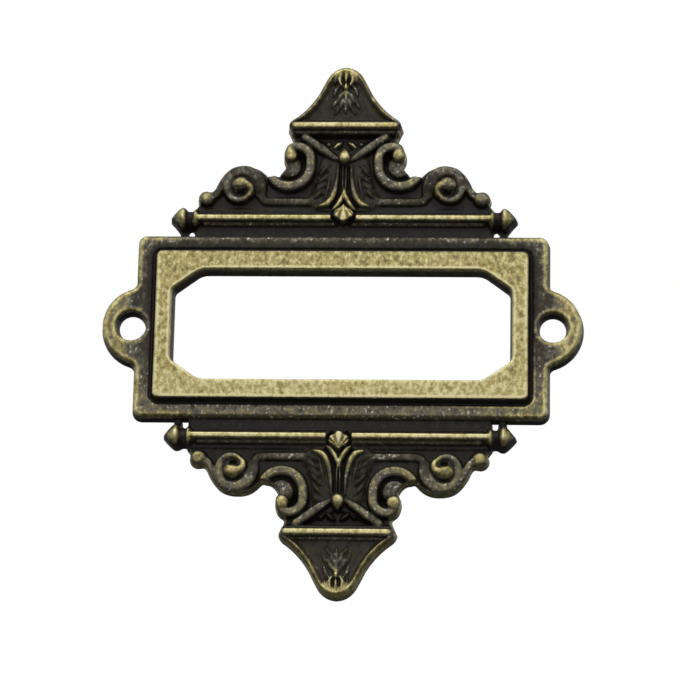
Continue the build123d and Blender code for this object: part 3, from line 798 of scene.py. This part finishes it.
def antiqueBrassAndGlints():
    # black finish, greyed where it is handled, rubbed through to brass on what stands proud; the wearAndLight
    # attribute it reads also carries painted highlights and painted shade, and pale painted glints are
    # spotted over the greyed parts
    f = finishAndGlint
    material = bpy.data.materials.new("antiqueBrassAndGlints")
    nodes = NodeTree(material)
    spot = nodes.add("TexCoord", output="Object")
    wearAndLight = nodes.add("Attribute", {"attribute_name": "wearAndLight"}, output="Fac")
    along = nodes.add("Mapping", {}, {"Vector": spot, "Rotation": (0, radians(f["smearTurn"]), 0),
                                      "Scale": (1, 1, f["smearLength"])})
    mottle = nodes.noise(spot, f["mottle"], 3.0) - 0.5
    smear = nodes.noise(along, f["smear"], 2.0) - 0.5
    speckle = nodes.noise(spot, f["speckle"], 1.0) - 0.5
    glintSpots = nodes.noise(spot, f["glintSpots"], 0.0).ramp(0.66, 0.77)
    uneven = mottle * 0.85 + smear * 0.7 + speckle * 0.2
    wornAndLit = (wearAndLight + uneven * (wearAndLight * 0.65 + 0.3)).clip()
    bright = wearAndLight + mottle * 1.15 + smear * 1.2 + speckle * 0.5
    dark = nodes.blend(wornAndLit.ramp(0.03, 0.26), f["black"], f["brown"])
    dull = nodes.blend(wornAndLit.ramp(0.22, 0.42), dark, f["grey"])
    # painted glints: pale spots over the greyed parts
    dull = nodes.blend(glintSpots * wornAndLit.ramp(0.22, 0.36) * f["glintShare"], dull, f["glint"])
    brass = nodes.blend(bright.ramp(0.3, 0.72), f["brassDeep"], f["brassMid"])
    brass = nodes.blend(bright.ramp(0.62, 1.15), brass, f["brassLight"])
    grain = nodes.add("Bump", {}, {"Strength": f["bump"], "Distance": f["bumpHeight"],
                                   "Height": speckle * 0.5 + smear * 0.9 + mottle * 0.8}, "Normal")
    nodes.feed(nodes.tree.nodes["Principled BSDF"], {
        "Base Color": nodes.blend(wornAndLit.ramp(0.25, 0.74), dull, brass),
        "Metallic": wornAndLit.ramp(0.15, 0.5) * f["metal"],
        "Roughness": f["roughness"] + smear * 0.25 + mottle * 0.1,
        "Specular IOR Level": f["specular"],
        "Normal": grain,
    })
    return material


# the holder: three castings that stand for the one solid
brassMaterial = antiqueBrassAndGlints()
pieces = [makePlate(), makePediment("upperPediment", 1), makePediment("lowerPediment", -1)]
for piece in pieces:
    piece.data.materials.append(brassMaterial)
    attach(piece, "root")
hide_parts("label_holder")
print("holder made")


# camera at the photo's angle, a little below the holder; scale is pixels to the metre at the holder
camera = {"tilt": 15.19, "swing": 3.27, "roll": -0.31, "distance": 0.3839, "scale": 7969.1,
          "centreX": 342.1, "centreY": 330.9, "image": 680, "sensor": 36}


def placeCamera():
    c = camera
    tilt, swing, roll = (radians(c[k]) for k in ("tilt", "swing", "roll"))
    away = Vector((sin(swing), -cos(tilt) * cos(swing), -sin(tilt) * cos(swing)))
    right = Vector((cos(swing), cos(tilt) * sin(swing), sin(tilt) * sin(swing)))
    up = away.cross(right)
    side, head = right * cos(roll) - up * sin(roll), up * cos(roll) + right * sin(roll)
    eye = bpy.data.objects.new("camera", bpy.data.cameras.new("camera"))
    bpy.context.scene.collection.objects.link(eye)
    aim = Matrix((side, head, away)).transposed().to_4x4()
    eye.matrix_world = Matrix.Translation(away * c["distance"]) @ aim
    eye.data.sensor_width = c["sensor"]
    eye.data.lens = c["scale"] * c["distance"] / c["image"] * c["sensor"]
    eye.data.shift_x = (c["image"] / 2 - c["centreX"]) / c["image"]
    eye.data.shift_y = (c["centreY"] - c["image"] / 2) / c["image"]
    eye.data.clip_start = 0.01
    bpy.context.scene.camera = eye


lights = {
    "top": {"at": (-0.05, -0.30, 0.34), "size": 0.30, "power": 0.45},
    "front": {"at": (0.02, -0.50, 0.06), "size": 0.25, "power": 0.12},
}


def placeLights():
    for name, light in lights.items():
        lamp = bpy.data.lights.new(name, "AREA")
        lamp.size, lamp.energy = light["size"], light["power"]
        stand = bpy.data.objects.new(name, lamp)
        bpy.context.scene.collection.objects.link(stand)
        stand.location = light["at"]
        stand.rotation_euler = Vector(light["at"]).to_track_quat("Z", "Y").to_euler()  # aimed at the window


def placeSurround():
    # white to the eye; what the metal reflects is bright above and dim below and in front
    world = bpy.data.worlds.new("surround")
    bpy.context.scene.world = world
    nodes = NodeTree(world)
    seen = nodes.add("LightPath", output="Is Camera Ray")
    aim = nodes.add("TexCoord", output="Generated")
    up = nodes.add("SeparateXYZ", {}, {0: aim}, "Z")
    glow = up.ramp(-0.16, 0.14) * (0.5 - up * 0.1) + 0.05
    nodes.feed(nodes.tree.nodes["Background"], {"Color": (1, 1, 1, 1), "Strength": seen + (1 - seen) * glow})


def placeFloor():
    reach, level = 1.2, -0.2
    mesh = bpy.data.meshes.new("floor")
    corners = [(x * reach, y * reach, level) for x, y in ((-1, -1), (1, -1), (1, 1), (-1, 1))]
    mesh.from_pydata(corners, [], [(0, 1, 2, 3)])
    floor = bpy.data.objects.new("floor", mesh)
    bpy.context.scene.collection.objects.link(floor)
    pale = bpy.data.materials.new("paleFloor")
    nodes = NodeTree(pale)
    nodes.feed(nodes.tree.nodes["Principled BSDF"], {"Base Color": (0.85, 0.85, 0.84, 1), "Roughness": 0.9})
    mesh.materials.append(pale)
    floor.visible_glossy = False  # the metal mirrors the surround alone


placeCamera()
placeLights()
placeSurround()
placeFloor()
bpy.context.scene.view_settings.view_transform = "Standard"
print("camera and lights set")
